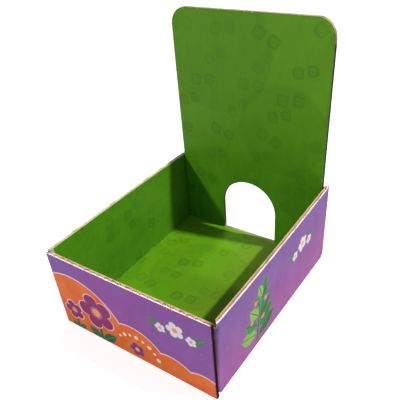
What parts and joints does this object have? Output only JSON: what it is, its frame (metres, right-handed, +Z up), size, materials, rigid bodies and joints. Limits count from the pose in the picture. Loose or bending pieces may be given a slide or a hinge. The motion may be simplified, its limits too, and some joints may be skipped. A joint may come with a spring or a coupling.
{
  "type": "counter display box",
  "caption": "Open display tray folded from printed corrugated board, with a tall round-cornered header and an arched cut-out at the foot of its back panel.",
  "frame": {"origin": "on the table under the middle of the tray's outside box", "axes": "+X to the right of the front wall, +Y from the front wall to the header, +Z up"},
  "size_m": [0.155, 0.185, 0.21],
  "materials": {
    "printed_board": "satin varnish over print"
  },
  "bodies": {
    "root": {"display_box": "printed_board"}
  },
  "joints": []
}
